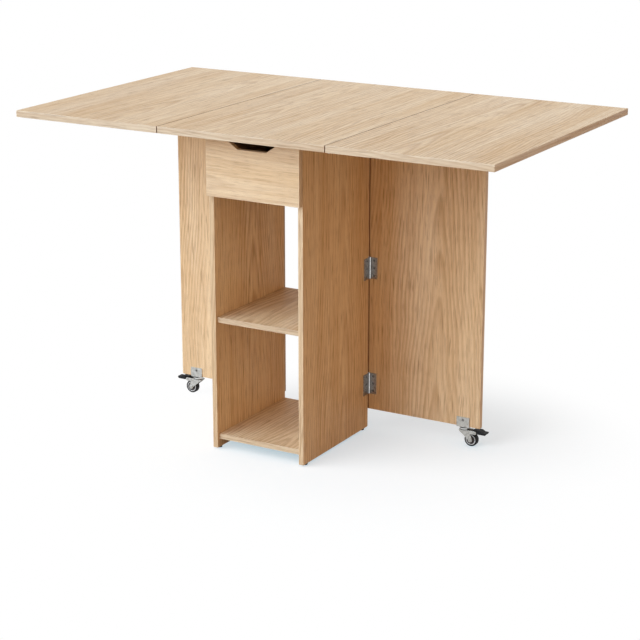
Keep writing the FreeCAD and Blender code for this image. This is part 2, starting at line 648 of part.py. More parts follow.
def at_tyre_rim(edge):
    """True for the two outer rings of the tyre."""
    return edge.isClosed() and abs(edge.Curve.Radius - size("wheel_radius")) < size("edge_tolerance")


tyre_blank = ring("tyre_blank", "wheel_radius", "rim_radius", "wheel_width")
twins("wheel_tyre", rounded("wheel_tyre_right", tyre_blank, "tyre_rounding", at_tyre_rim))
twins("wheel_rim", ring("wheel_rim_right", "rim_radius", "hub_radius", "rim_width"))
twins("wheel_hub", ring("wheel_hub_right", "hub_radius", "axle_radius + running_play", "hub_width"))

# Brake pedal: a neck between the cheeks and a wider tread outside them, stepped down to its toe

pedal_top = f"{pivot_z} + pedal_rise"
pedal_bottom = f"{pivot_z} - pedal_drop"
pedal_tip = f"{pivot_x} + pedal_reach"
toe_top = f"{pivot_z} + pedal_tip_rise"
neck_points = [(f"{pivot_x} - pedal_back", pedal_bottom), (f"{pivot_x} + pedal_neck", pedal_bottom),
               (f"{pivot_x} + pedal_neck", pedal_top), (f"{pivot_x} - pedal_back", pedal_top)]
tread_points = [(f"{pivot_x} + pedal_neck", pedal_bottom), (f"{pedal_tip} - pedal_tip_cut", pedal_bottom),
                (pedal_tip, f"{pedal_bottom} + pedal_tip_cut"), (pedal_tip, toe_top),
                (f"{pivot_x} + pedal_step", toe_top), (f"{pivot_x} + pedal_flat", pedal_top),
                (f"{pivot_x} + pedal_neck", pedal_top)]
pedal_neck = padded("pedal_neck", neck_points, "pedal_neck_width", ("0", swivel_y, "0"))
pedal_tread = padded("pedal_tread", tread_points, "pedal_width", ("0", swivel_y, "0"))
pedal_bore = cross_rod("pedal_bore", "pivot_pin_radius + running_play", cheek_outer, pivot_x, pivot_z)
twins("brake_pedal", cut("brake_pedal_right", fuse("pedal_blank", [pedal_neck, pedal_tread]), [pedal_bore]))

# Check every object, then write one file for each sub-part

doc.recompute()
for thing in doc.Objects:
    if "Invalid" in thing.State or "Error" in thing.State:
        raise RuntimeError(f"{thing.Name} could not be worked out: {thing.State}")
os.makedirs("parts", exist_ok=True)
for thing in nodes:
    shape = thing.Shape
    if shape.isNull() or not shape.isValid() or not shape.Solids:
        raise RuntimeError(f"{thing.Label} has no valid solid")
    shape.exportStep(f"parts/{thing.Label}.step")
print(len(nodes), "sub-parts written")
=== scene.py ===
# %% [markdown]
# # A kitchen table with a storage cabinet
#
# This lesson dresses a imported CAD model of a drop-leaf table. The model brings the shapes and the joints.
# The cells below add the camera, the light, the boards with their softened edges, and the finishes.
# All lengths are metres. X runs along the table, Y to its back and Z up, and the floor is at zero.

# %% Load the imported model
import json
import math

import bpy
import numpy as np
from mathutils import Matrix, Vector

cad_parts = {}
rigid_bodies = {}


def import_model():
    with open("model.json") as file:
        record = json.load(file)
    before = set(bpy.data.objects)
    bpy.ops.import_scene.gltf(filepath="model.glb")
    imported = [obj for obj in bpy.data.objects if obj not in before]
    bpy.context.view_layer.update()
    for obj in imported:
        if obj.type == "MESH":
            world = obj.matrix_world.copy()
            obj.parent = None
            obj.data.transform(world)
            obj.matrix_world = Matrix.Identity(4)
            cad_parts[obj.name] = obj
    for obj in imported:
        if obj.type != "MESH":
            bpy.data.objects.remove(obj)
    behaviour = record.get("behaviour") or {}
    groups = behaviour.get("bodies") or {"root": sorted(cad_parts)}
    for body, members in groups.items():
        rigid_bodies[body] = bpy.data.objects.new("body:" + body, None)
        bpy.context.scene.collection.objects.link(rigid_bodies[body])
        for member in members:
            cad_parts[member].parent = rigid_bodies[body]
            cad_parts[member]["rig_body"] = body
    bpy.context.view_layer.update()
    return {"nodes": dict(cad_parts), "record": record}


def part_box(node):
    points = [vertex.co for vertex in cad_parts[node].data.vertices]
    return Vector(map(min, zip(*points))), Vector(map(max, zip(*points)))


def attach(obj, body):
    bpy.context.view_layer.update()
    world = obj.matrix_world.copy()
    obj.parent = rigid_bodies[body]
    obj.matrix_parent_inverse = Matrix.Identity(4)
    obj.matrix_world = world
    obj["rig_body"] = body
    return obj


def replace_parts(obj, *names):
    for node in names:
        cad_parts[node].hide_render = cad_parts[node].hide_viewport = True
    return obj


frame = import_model()
nodes = frame["nodes"]
scene = bpy.context.scene
scene.view_settings.view_transform = "Standard"
print(len(nodes), "CAD nodes loaded")

# %% [markdown]
# ## Camera
#
# The photograph looks down on the table from the front right, through a long lens. A shifted lens would keep
# all uprights parallel, but a plain camera that is tilted down shows the same faces and needs no shift.
# The place, the tilt and the turn below put the tabletop's corners where the photograph has them.

# %% Camera
CAMERA_PLACE = (2.130, -3.706, 1.525)
CAMERA_PITCH = math.radians(16.62)
CAMERA_YAW = math.radians(29.98)
CAMERA_LENS = 106.6
SENSOR_WIDTH = 36

camera_data = bpy.data.cameras.new("photo_camera")
camera_data.sensor_width = SENSOR_WIDTH
camera_data.lens = CAMERA_LENS
camera = bpy.data.objects.new("photo_camera", camera_data)
camera.location = CAMERA_PLACE
camera.rotation_euler = (math.pi / 2 - CAMERA_PITCH, 0, CAMERA_YAW)
scene.collection.objects.link(camera)
scene.camera = camera
print("camera at", CAMERA_PLACE, "with a lens of", CAMERA_LENS, "mm")

# %% [markdown]
# ## Wiring shader nodes
#
# A finish is a graph of nodes. It could be drawn by hand in the shader editor, but then the script wouldn't
# show how it was made. The small class below adds one node at a time and feeds its inputs, either with plain
# values or with the outputs of other nodes.


# %% Adding nodes
class Wiring:
    """A shader tree, emptied first, to which nodes are added one by one."""

    def __init__(self, tree):
        self.tree = tree
        tree.nodes.clear()

    def feed(self, socket, value):
        """Link another socket to an input, or set the input to a plain value."""
        if isinstance(value, bpy.types.NodeSocket):
            self.tree.links.new(value, socket)
        else:
            socket.default_value = value

    def node(self, kind, inputs=None, **settings):
        """Add a node, set its properties, and feed its inputs."""
        made = self.tree.nodes.new(kind)
        for name, value in settings.items():
            setattr(made, name, value)
        for key, value in (inputs or {}).items():
            self.feed(made.inputs[key], value)
        return made


def calls_of(kind):
    """The names of a class's own calls."""
    return [name for name in vars(kind) if not name.startswith("_")]


print("wiring calls:", *calls_of(Wiring))

# %% [markdown]
# ## Calls for patterns
#
# Patterns are made of noise, sums and blends. Each could be wired where it is used, but one short call for
# each keeps a pattern on a few lines, and its numbers stay in the cell that describes the finish.


# %% Calls for patterns
class Graph(Wiring):
    """Short calls for the nodes of patterns, each returning an output socket."""

    def calc(self, operation, a, b=0.0, c=0.0, clamp=False):
        """One arithmetic step on numbers."""
        inputs = {0: a, 1: b, 2: c}
        return self.node("ShaderNodeMath", inputs, operation=operation, use_clamp=clamp).outputs[0]

    def axes(self, vector):
        """The three numbers of a coordinate."""
        return self.node("ShaderNodeSeparateXYZ", {0: vector}).outputs

    def stretch(self, vector, factors):
        """A coordinate with each axis multiplied by its own factor."""
        return self.node("ShaderNodeVectorMath", {0: vector, 1: factors}, operation="MULTIPLY").outputs[0]

    def noise(self, vector, detail=2.0, roughness=0.5):
        """Smooth noise from 0 to 1 that varies once per unit of the coordinate."""
        inputs = {"Vector": vector, "Scale": 1.0, "Detail": detail, "Roughness": roughness}
        return self.node("ShaderNodeTexNoise", inputs).outputs[0]

    def spread(self, value, low, high, start=0.0, end=1.0):
        """Map a value from one span to another by a smooth step, held inside the new span."""
        inputs = {0: value, 1: low, 2: high, 3: start, 4: end}
        return self.node("ShaderNodeMapRange", inputs, interpolation_type="SMOOTHSTEP").outputs[0]

    def curve(self, value, stops):
        """A ramp of grey through (place, level) stops."""
        made = self.node("ShaderNodeValToRGB", {0: value})
        while len(made.color_ramp.elements) < len(stops):
            made.color_ramp.elements.new(1.0)
        for element, (place, level) in zip(made.color_ramp.elements, stops):
            element.position = place
            element.color = (level, level, level, 1.0)
        return made.outputs[0]

    def blend(self, share, a, b, mode="MIX"):
        """Mix two colours by a share."""
        inputs = {0: share, 6: a, 7: b}
        return self.node("ShaderNodeMix", inputs, data_type="RGBA", blend_type=mode).outputs[2]

    def bump(self, height, strength, distance, edge=None):
        """A normal tilted by a height pattern, on edges that are shaded round by the radius edge."""
        inputs = {"Height": height, "Strength": strength, "Distance": distance}
        if edge:
            inputs["Normal"] = self.node("ShaderNodeBevel", {"Radius": edge}).outputs[0]
        return self.node("ShaderNodeBump", inputs).outputs[0]


print("pattern calls:", *calls_of(Graph))

# %% [markdown]
# ## Starting a finish
#
# Every finish starts from one all-round shader. Its colours could be typed as linear values, in which light
# adds up. Display values from 0 to 255 are easier to read off a screen, so a small function turns them.


# %% Starting a finish
def colour(red, green, blue):
    """A display colour as a linear colour: a power of 2.4, with a straight piece near black."""
    levels = [channel / 255 for channel in (red, green, blue)]
    linear = [c / 12.92 if c <= 0.04045 else ((c + 0.055) / 1.055) ** 2.4 for c in levels]
    return (*linear, 1.0)


def new_material(name):
    """A material with an empty graph and a shader that its output shows."""
    material = bpy.data.materials.new(name)
    material.use_nodes = True
    graph = Graph(material.node_tree)
    shader = graph.node("ShaderNodeBsdfPrincipled")
    graph.node("ShaderNodeOutputMaterial", {"Surface": shader.outputs[0]})
    return material, graph, shader


print("a display grey of 128 is a linear", round(colour(128, 128, 128)[0], 3))

# %% [markdown]
# ## Room light
#
# A studio room is white where the camera or a shiny surface looks at it. As a light source it is warm and
# dim at the sides and brighter overhead, which lights the tabletop. A picture of a studio could do that too.
# Two colours blended by height are simpler, and the Light Path node keeps the backdrop white.

# %% Room light
X, Y, Z = 0, 1, 2
WHITE = (1.0, 1.0, 1.0, 1.0)
ROOM_SIDE = (0.60, 0.372, 0.211, 1.0)
ROOM_OVERHEAD = (0.672, 0.728, 0.776, 1.0)
OVERHEAD_POWER = 2.0


def seen_directly(graph):
    """One for camera, mirror and glass rays, and zero for the rays that carry light."""
    path = graph.node("ShaderNodeLightPath").outputs
    camera_or_mirror = graph.calc("ADD", path["Is Camera Ray"], path["Is Glossy Ray"])
    return graph.calc("ADD", camera_or_mirror, path["Is Transmission Ray"], clamp=True)


world = bpy.data.worlds.new("room")
world.use_nodes = True
graph = Graph(world.node_tree)
height = graph.axes(graph.node("ShaderNodeTexCoord").outputs["Generated"])[Z]
raised = graph.calc("POWER", graph.calc("MAXIMUM", height, 0.0), OVERHEAD_POWER)
light = graph.node("ShaderNodeBackground", {"Color": graph.blend(raised, ROOM_SIDE, ROOM_OVERHEAD)})
white = graph.node("ShaderNodeBackground", {"Color": WHITE})
either = {0: seen_directly(graph), 1: light.outputs[0], 2: white.outputs[0]}
shown = graph.node("ShaderNodeMixShader", either)
graph.node("ShaderNodeOutputWorld", {"Surface": shown.outputs[0]})
scene.world = world
print("room light from", ROOM_SIDE[:3], "at the sides to", ROOM_OVERHEAD[:3], "overhead")

# %% [markdown]
# ## Window
#
# A broad, low window at the front left lights the fronts and leaves the right-hand faces in shade.
# An area lamp would fade from one end of the table to the other. A sun with a wide angle lights all parts
# alike and still casts soft shadows.

# %% Window
WINDOW_STRENGTH = 2.98
WINDOW_COLOUR = (0.83, 1.06, 1.28)
WINDOW_SPREAD = math.radians(65)
WINDOW_TILT = math.radians(68)
WINDOW_TURN = math.radians(-38)

window_data = bpy.data.lights.new("window", "SUN")
window_data.energy = WINDOW_STRENGTH
window_data.color = WINDOW_COLOUR
window_data.angle = WINDOW_SPREAD
window = bpy.data.objects.new("window", window_data)
window.rotation_euler = (WINDOW_TILT, 0, WINDOW_TURN)
scene.collection.objects.link(window)
print("window of strength", WINDOW_STRENGTH)

# %% [markdown]
# ## Floor
#
# The table stands on a pale studio sweep. Near the table the floor is matt and takes the shadow. Farther
# off it is plain white and runs into the backdrop without an edge, which a floor of one colour can't do.
# A glow lifts the shadow to a light grey. The rays that carry light meet a duller, warm floor instead,
# so that the boards get only a little light from below.

# %% Floor
BLACK = (0.0, 0.0, 0.0, 1.0)
FLOOR_FACE = (0.679, 0.541, 0.4625, 1.0)
FLOOR_GLOW = (0.394, 0.528, 0.593, 1.0)
FLOOR_BOUNCE = (0.46, 0.345, 0.245, 1.0)
FLOOR_REACH = 40.0
SHADE_PLACE = (0.20, -0.10, 0.0)
SHADE_CORE = 0.24
SHADE_END = 0.66

floor_mesh = bpy.data.meshes.new("floor")
corners = [(-FLOOR_REACH, -FLOOR_REACH, 0), (FLOOR_REACH, -FLOOR_REACH, 0),
           (FLOOR_REACH, FLOOR_REACH, 0), (-FLOOR_REACH, FLOOR_REACH, 0)]
floor_mesh.from_pydata(corners, [], [(0, 1, 2, 3)])
floor = bpy.data.objects.new("floor", floor_mesh)
scene.collection.objects.link(floor)

floor_material = bpy.data.materials.new("pale_floor")
floor_material.use_nodes = True
graph = Graph(floor_material.node_tree)
direct = seen_directly(graph)
place = graph.node("ShaderNodeTexCoord").outputs["Object"]
away = graph.node("ShaderNodeVectorMath", {0: place, 1: SHADE_PLACE}, operation="DISTANCE").outputs["Value"]
open_floor = graph.spread(away, SHADE_CORE, SHADE_END)
face = graph.blend(open_floor, FLOOR_FACE, BLACK)
glow = graph.blend(open_floor, FLOOR_GLOW, WHITE)
matt = graph.node("ShaderNodeBsdfDiffuse", {"Color": graph.blend(direct, FLOOR_BOUNCE, face)})
lift = graph.node("ShaderNodeEmission", {"Color": glow, "Strength": direct})
both = graph.node("ShaderNodeAddShader", {0: matt.outputs[0], 1: lift.outputs[0]})
graph.node("ShaderNodeOutputMaterial", {"Surface": both.outputs[0]})
floor_mesh.materials.append(floor_material)
print("floor takes shade up to", SHADE_END, "m from", SHADE_PLACE)

# %% [markdown]
# ## Layers of the oak print
#
# The boards carry a printed oak pattern. Each face stores where it lies on the print: the distance across
# the grain from the heart line, the distance along the grain, and a seed that tells the boards apart.
# An image could hold the print, but noise that is drawn out along the grain has no size limit and no seams.
# The table gives each layer's waves per metre across the grain, along it, and from board to board. Then
# come the noise's detail and roughness, and the span of its values that is spread from 0 to 1.

# %% Layers of the oak print
LAYERS = {
    "cloud": ((14.0, 0.9, 3.0), 3.0, 0.5, 0.28, 0.72),
    "streak": ((120.0, 2.6, 1.0), 4.0, 0.6, 0.36, 0.68),
    "fibre": ((380.0, 15.0, 1.0), 2.0, 0.5, 0.54, 0.70),
    "pore": ((1300.0, 34.0, 1.0), 1.0, 0.5, 0.56, 0.72),
    "fade": ((9.0, 1.3, 2.0), 3.0, 0.5, 0.34, 0.66),
}


def layer(graph, decor, name):
    """One layer of the print from 0 to 1: noise of the stretched coordinate, with its middle spread out."""
    scale, detail, roughness, low, high = LAYERS[name]
    return graph.spread(graph.noise(graph.stretch(decor, scale), detail, roughness), low, high)


print("oak layers:", *LAYERS)

# %% [markdown]
# ## Growth rings
#
# A plain-sawn board cuts the tree's rings as cones. That gives pointed arches in the middle of a board and
# straight lines at its sides. A wave texture would draw the same line everywhere, so the rings are counted
# from the heart instead.

# %% Growth rings
RING_SPACING = 0.0085
RING_TAPER = 0.052
RING_DRIFT = 3.0
RING_PROFILE = ((0.0, 0.0), (0.30, 0.05), (0.80, 0.95), (0.90, 0.65), (1.0, 0.0))
FAINTEST_RING = 0.25
HEART_DEPTH = 0.030
BEND_SCALE, BEND_WIDTH = (5.0, 1.7, 1.0), 0.075
WAVER_SCALE, WAVER_WIDTH = (38.0, 4.5, 1.0), 0.007
DRIFT_SCALE = (3.0, 2.4, 4.0)
NOISE_MIDDLE = 0.5


def growth_rings(graph, decor, waver):
    """Ring lines that rise slowly and fall fast: a ramp over the fraction of the ring number.

    The distance is the root of (across squared + heart depth squared), plus the taper times the length.
    The ring number is the distance over the spacing. Noise bends the one and drifts the other."""
    across, along, _ = graph.axes(decor)
    bend = graph.noise(graph.stretch(decor, BEND_SCALE))
    drift = graph.noise(graph.stretch(decor, DRIFT_SCALE))
    bent = graph.calc("MULTIPLY_ADD", graph.calc("SUBTRACT", bend, NOISE_MIDDLE), BEND_WIDTH, across)
    bent = graph.calc("MULTIPLY_ADD", graph.calc("SUBTRACT", waver, NOISE_MIDDLE), WAVER_WIDTH, bent)
    square = graph.calc("MULTIPLY_ADD", bent, bent, HEART_DEPTH ** 2)
    distance = graph.calc("MULTIPLY_ADD", along, RING_TAPER, graph.calc("SQRT", square))
    number = graph.calc("MULTIPLY_ADD", drift, RING_DRIFT, graph.calc("DIVIDE", distance, RING_SPACING))
    line = graph.curve(graph.calc("FRACT", number), RING_PROFILE)
    fade = graph.calc("MULTIPLY_ADD", layer(graph, decor, "fade"), 1 - FAINTEST_RING, FAINTEST_RING)
    return graph.calc("MULTIPLY", line, fade)


print("rings every", RING_SPACING, "m")

# %% [markdown]
# ## Painted seam shade
#
# Boards that meet in a seam look dark along it, because little light gets in. The render could show that by
# itself only in a wide gap, which would change the real size. So that shade is painted on the edges beside a
# seam. Each point stores its distance to two shaded sides and its depth, all in units of how far the painted
# shade goes.

# %% Painted seam shade
# The colour of the shade painted beside seams, and how much of the print it covers there.
OAK_SEAM_SHADE = colour(112, 64, 36)
SEAM_SHADE_CORE = 0.7
SEAM_SHADE_SHARE = 0.85


def painted_seam_shade(graph):
    """The share of painted seam shade: full beside a shaded side, and gone at its reach or below its depth.
    """
    gap = graph.node("ShaderNodeAttribute", attribute_name="gap").outputs["Vector"]
    first, second, deep = graph.axes(gap)
    nearest = graph.calc("MAXIMUM", graph.calc("MINIMUM", first, second), deep)
    return graph.calc("MULTIPLY", graph.spread(nearest, SEAM_SHADE_CORE, 1.0, 1.0, 0.0), SEAM_SHADE_SHARE)


print("stain covers", SEAM_SHADE_SHARE, "of the print")

# %% [markdown]
# ## Oak colours
#
# Oak is pale, with darker rings, fibres and pores, and it is rubbed paler along its edges. One colour ramp
# could hold all these tones, but then no layer could be made stronger by itself. So the print is laid in
# thin coats, from the broad clouds to the rubbed edges.

# %% Oak colours
OAK_LIGHT = colour(243, 222, 192)
OAK_MID = colour(230, 201, 163)
OAK_STREAK = colour(202, 164, 122)
OAK_RING = colour(184, 142, 102)
OAK_PORE = colour(148, 107, 72)
OAK_WORN = colour(244, 228, 202)
STREAK_SHARE = 0.40
PORE_SHARE = 0.34
WORN_SHARE = 0.40


def oak_shade(graph, patterns, rings, fibres):
    """The print's colour: each coat is mixed over the last one by its pattern times its share."""
    coats = (("streak", STREAK_SHARE, OAK_STREAK), ("ring", rings, OAK_RING), ("fibre", fibres, OAK_PORE),
             ("pore", PORE_SHARE, OAK_PORE), ("worn", WORN_SHARE, OAK_WORN))
    shade = graph.blend(patterns["cloud"], OAK_LIGHT, OAK_MID)
    for name, share, tone in coats:
        shade = graph.blend(graph.calc("MULTIPLY", patterns[name], share), shade, tone)
    return shade


print("oak from", [round(part, 2) for part in OAK_LIGHT[:3]], "to", [round(part, 2) for part in OAK_PORE[:3]])

# %% [markdown]
# ## Oak finishes
#
# The boards are of one wood, but the top, the uprights and the shelves differ a little in tone and figure,
# and the edge band is darker and glossier than the faces. Each finish could have its own graph, but one
# function keeps them alike: they differ only in tint, and in how strongly rings and fibres show.

# %% Oak finishes
WORN_LOW, WORN_HIGH = 0.35, 0.70
BAND_SEED = 0.5
BAND_DARKER = 0.12
BAND_GLOSS = 0.60
FACE_GLOSS = 0.07
SMOOTHEST, ROUGHEST = 0.42, 0.54
RING_DIP, PORE_DIP = 0.4, 0.6
DIP_STRENGTH, DIP_DEPTH = 0.25, 0.0003


def oak_finish(name, tint, rings, fibres):
    """Oak print: ring lines, streaks, fibres and pores along the grain, with rubbed edges and painted seam
    shade.

    tint multiplies the whole print, and rings and fibres say how strongly those two layers show. The edge
    band's seed has a fraction and a face's has none, so the fraction tells them apart."""
    material, graph, shader = new_material(name)
    decor = graph.node("ShaderNodeAttribute", attribute_name="decor").outputs["Vector"]
    wear = graph.node("ShaderNodeAttribute", attribute_name="wear").outputs["Fac"]
    _, _, seed = graph.axes(decor)
    band = graph.calc("DIVIDE", graph.calc("FRACT", seed), BAND_SEED)
    waver = graph.noise(graph.stretch(decor, WAVER_SCALE))
    patterns = {part: layer(graph, decor, part) for part in ("cloud", "streak", "fibre", "pore")}
    patterns["ring"] = growth_rings(graph, decor, waver)
    patterns["worn"] = graph.calc("MULTIPLY", wear, graph.spread(waver, WORN_LOW, WORN_HIGH))
    shade = graph.blend(1.0, oak_shade(graph, patterns, rings, fibres), tint, "MULTIPLY")
    shade = graph.blend(graph.calc("MULTIPLY", band, BAND_DARKER), shade, BLACK)
    pores = graph.calc("MULTIPLY", patterns["pore"], PORE_DIP)
    dips = graph.calc("MULTIPLY_ADD", patterns["ring"], RING_DIP, pores)
    ground = graph.calc("SUBTRACT", 1.0, dips)
    # Painted shade beside seams, where little light gets in, darkens the print.
    graph.feed(shader.inputs["Base Color"], graph.blend(painted_seam_shade(graph), shade, OAK_SEAM_SHADE))
    graph.feed(shader.inputs["Roughness"], graph.spread(patterns["streak"], 0.0, 1.0, SMOOTHEST, ROUGHEST))
    graph.feed(shader.inputs["Normal"], graph.bump(ground, DIP_STRENGTH, DIP_DEPTH))
    graph.feed(shader.inputs["Specular IOR Level"], graph.calc("MULTIPLY_ADD", band, BAND_GLOSS, FACE_GLOSS))
    return material


oak = {
    "oak_top": oak_finish("oak_top", (0.97, 0.99, 1.0, 1.0), rings=0.60, fibres=0.42),
    "oak_upright": oak_finish("oak_upright", (1.05, 1.01, 0.92, 1.0), rings=0.60, fibres=0.52),
    "oak_crosswise": oak_finish("oak_crosswise", (1.02, 1.02, 1.00, 1.0), rings=0.36, fibres=0.26),
    "oak_shelf": oak_finish("oak_shelf", (0.96, 0.95, 0.92, 1.0), rings=0.60, fibres=0.46),
    "drawer_board": oak_finish("drawer_board", (0.98, 0.98, 0.96, 1.0), rings=0.45, fibres=0.40),
}
print("oak finishes:", *oak)

# %% [markdown]
# ## Moving an outline inwards
#
# A board's rounded edge needs its outline again, a little smaller. Scaling would shrink a long board more at
# its ends than at its sides. Moving every corner along its bisector keeps the same distance all round.


# %% Moving an outline inwards
def unit(vectors):
    """Each vector divided by its length."""
    return vectors / np.linalg.norm(vectors, axis=1)[:, None]


def inset(points, depth):
    """An anticlockwise polygon moved inwards: each corner goes along the sum of its two sides' normals.

    It goes by the depth over one plus the cosine of the turn between the sides."""
    ahead = unit(np.roll(points, -1, 0) - points)
    back = np.roll(ahead, 1, 0)
    inward = np.stack([-ahead[:, 1] - back[:, 1], ahead[:, 0] + back[:, 0]], 1)
    return points + inward * depth / (1 + (ahead * back).sum(1))[:, None]


square = np.array([(0.0, 0.0), (1.0, 0.0), (1.0, 1.0), (0.0, 1.0)])
print("a unit square moved in by a quarter:", *inset(square, 0.25).tolist())

# %% [markdown]
# ## Outlines with round corners
#
# A sawn board's corners are slightly round. A Bevel modifier could round a box, but the drawer front has a
# notch and the gates have hollows. One function for all outlines gives each of their corners its own arc.

# %% Outlines with round corners
CORNER_RADIUS = 0.0010
CORNER_STEPS = 3
SHARPEST = 0.00005


def cross(a, b):
    """The signed area between two plane vectors: positive where the turn is to the left."""
    return a[:, 0] * b[:, 1] - a[:, 1] * b[:, 0]


def smooth_outline(points, radii, depth):
    """A polygon moved inwards, with an arc of equal turns at every corner that touches both its sides.

    The arc's centre lies on the bisector, at the radius over the sine of half the angle. It stays where it
    is when the outline moves in: an outer corner's radius gets shorter and an inner corner's longer."""
    shape = inset(np.array(points, float), depth)
    before, after = np.roll(shape, 1, 0), np.roll(shape, -1, 0)
    back, ahead = unit(before - shape), unit(after - shape)
    outer = cross(shape - before, after - shape) > 0
    wanted = np.array(radii, float)
    radius = np.where(outer, np.maximum(wanted - depth, SHARPEST), wanted + depth)
    half = np.arccos(np.clip((back * ahead).sum(1), -1, 1)) / 2
    reach = (radius / np.tan(half))[:, None]
    centre = shape + unit(back + ahead) * (radius / np.sin(half))[:, None]
    start, end = shape + back * reach - centre, shape + ahead * reach - centre
    turn = np.arctan2(cross(start, end), (start * end).sum(1))
    angles = turn[:, None] * np.linspace(0, 1, CORNER_STEPS + 1)
    cosines, sines = np.cos(angles), np.sin(angles)
    arcs = np.stack([start[:, :1] * cosines - start[:, 1:] * sines,
                     start[:, :1] * sines + start[:, 1:] * cosines], 2)
    return (centre[:, None] + arcs).reshape(-1, 2)


print("corners rounded by", CORNER_RADIUS, "m in", CORNER_STEPS, "steps")

# %% [markdown]
# ## A board's place and print
#
# A real board is cut from a printed sheet, so its print depends on where the heart line falls on it. Each
# board here takes its box from the CAD node that it replaces, which keeps the size right. UV maps could
# place the print too, but lengths measured in metres need no unwrapping.

# %% A board's place and print
# A side without painted seam shade counts as this many reaches away.
UNSHADED = 9.0


class BoardBox:
    """The box of a CAD board, with the axes of its thickness, its grain, its width and its outline."""

    def __init__(self, name, thick, grain, heart, seed):
        self.low, self.high = (np.array(corner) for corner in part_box(name))
        flat = [axis for axis in (X, Y, Z) if axis != thick]
        self.plane = flat[::-1] if thick == Y else flat
        self.thick, self.grain, self.seed = thick, grain, seed
        self.across = next(axis for axis in flat if axis != grain)
        self.heart_line = self.low[self.across] + heart * (self.high[self.across] - self.low[self.across])

    def outline(self):
        """The box's own four corners, anticlockwise, and their radii."""
        (a, b), (c, d) = self.low[self.plane], self.high[self.plane]
        return [(a, b), (c, b), (c, d), (a, d)], [CORNER_RADIUS] * 4

    def place(self, flat, height):
        """Outline points at a height in the thickness, as points in space."""
        made = np.full((len(flat), 3), self.low[self.thick] + height)
        made[:, self.plane] = flat
        return made

    def face_print(self, spots):
        """Where points of a flat face lie on the print: across from the heart line, along, and the seed."""
        seeds = np.full(len(spots), self.seed)
        return np.stack([spots[:, self.across] - self.heart_line, spots[:, self.grain], seeds], 1)

    def seam_shading(self, spots, shaded_sides):
        """Distances to up to two sides with painted shade over the shade's reach, and the depth over the
        shade's own.
        """
        made = np.tile([UNSHADED, UNSHADED, 0.0], (len(spots), 1))
        for entry, (end, reach, depth) in enumerate(shaded_sides):
            side = self.high[self.across] if end else self.low[self.across]
            made[:, entry] = abs(spots[:, self.across] - side) / reach
            made[:, 2] = (spots[:, self.thick] - self.low[self.thick]) / depth
        return made


print("a side without stain counts as", UNSHADED, "reaches away")

# %% [markdown]
# ## Edge profile and edge band
#
# Near both faces a board's outline shrinks along a quarter circle, which rounds the edge by half a
# millimetre. A sharp edge would be simpler, but it would catch no light. A glued-on band covers the rim. Its
# print runs round the outline, and starts far enough from the heart to show straight lines only.

# %% Edge profile and edge band
ARRIS = 0.0005
ARRIS_STEPS = 4
WORN_WIDTH = 0.0015
BAND_START = 0.11


def sweep_profile(thickness):
    """(inset, height, wear) of each loop: from the front face round its edge to the rim, then to the back.

    On the edge the inset is the radius times one minus the sine of an angle, and the height is the radius
    times one minus its cosine. The back mirrors the front."""
    angles = np.linspace(0, math.pi / 2, ARRIS_STEPS + 1)
    arc = [(ARRIS * (1 - math.sin(a)), ARRIS * (1 - math.cos(a)), 1.0) for a in angles]
    lower = [(ARRIS + WORN_WIDTH, 0.0, 0.0), *arc, (0.0, ARRIS + WORN_WIDTH, 0.0)]
    upper = [(gap, thickness - height, wear) for gap, height, wear in reversed(lower)]
    return lower, upper


def band_print(shape, heights, seed):
    """The print of the edge band, for each corner of each quad: its height, and the run round the outline.

    The run is the sum of the lengths of the outline's sides so far."""
    rim = smooth_outline(*shape, 0.0)
    run = np.concatenate([[0], np.cumsum(np.linalg.norm(np.roll(rim, -1, 0) - rim, axis=1))])
    low, high = heights[:-1], heights[1:]
    made = np.zeros((len(low), len(rim), 4, 3))
    made[..., 0] = BAND_START + np.stack([low, low, high, high], 1)[:, None, :]
    made[..., 1] = np.stack([run[:-1], run[1:], run[1:], run[:-1]], 1)[None]
    made[..., 2] = seed + BAND_SEED
    return made


print("edges rounded by", ARRIS, "m in", ARRIS_STEPS, "steps")

# %% [markdown]
# ## Skin of a board
#
# A board's surface is its points and faces, with the print and the wear of every face corner. A node could
# work these two out from the coordinates, but it couldn't tell a face from a rim. So they are stored on the
# mesh as attributes, and travel with it.


# %% Skin of a board
class Skin:
    """The surface of a board: points and faces, with the print and the wear of every face corner."""

    def __init__(self):
        self.points, self.faces, self.smooth, self.decor, self.wear = [], [], [], [], []

    def add(self, points, blocks, decor, wear, smooth):
        """Append blocks of faces that number their points from zero, and their values in the same order."""
        start = len(self.points)
        self.points += points.tolist()
        for block in blocks:
            self.faces += (block + start).tolist()
        self.decor += decor.ravel().tolist()
        self.wear += wear.ravel().tolist()
        self.smooth += smooth.tolist()

    def add_floor(self, box, corners, height):
        """The flat bottom of a hollow."""
        spots = box.place(np.array(corners), height)
        index = np.arange(len(spots))[None]
        self.add(spots, [index], box.face_print(spots), np.zeros(len(spots)), np.array([False]))

    def mesh(self, name, seam_shading):
        """A mesh of the faces, with the painted seam shade at its points, and the print and the wear at its
        corners.
        """
        made = bpy.data.meshes.new(name)
        made.from_pydata(self.points, [], self.faces)
        # The gap attribute holds the distances that place the painted seam shade.
        made.attributes.new("gap", "FLOAT_VECTOR", "POINT").data.foreach_set("vector", seam_shading.ravel())
        made.attributes.new("decor", "FLOAT_VECTOR", "CORNER").data.foreach_set("vector", self.decor)
        made.attributes.new("wear", "FLOAT", "CORNER").data.foreach_set("value", self.wear)
        made.polygons.foreach_set("use_smooth", self.smooth)
        made.update()
        return made


print("skin calls:", *calls_of(Skin))

# %% [markdown]
# ## Sweeping the outline
#
# A board is its outline carried through the thickness, with a face at either end. Extruding a curve would
# give the shape but not the print. So the outlines are stacked into one grid of points. Each row of the
# grid makes a row of quads with the next one, and the first and last rows close the board.


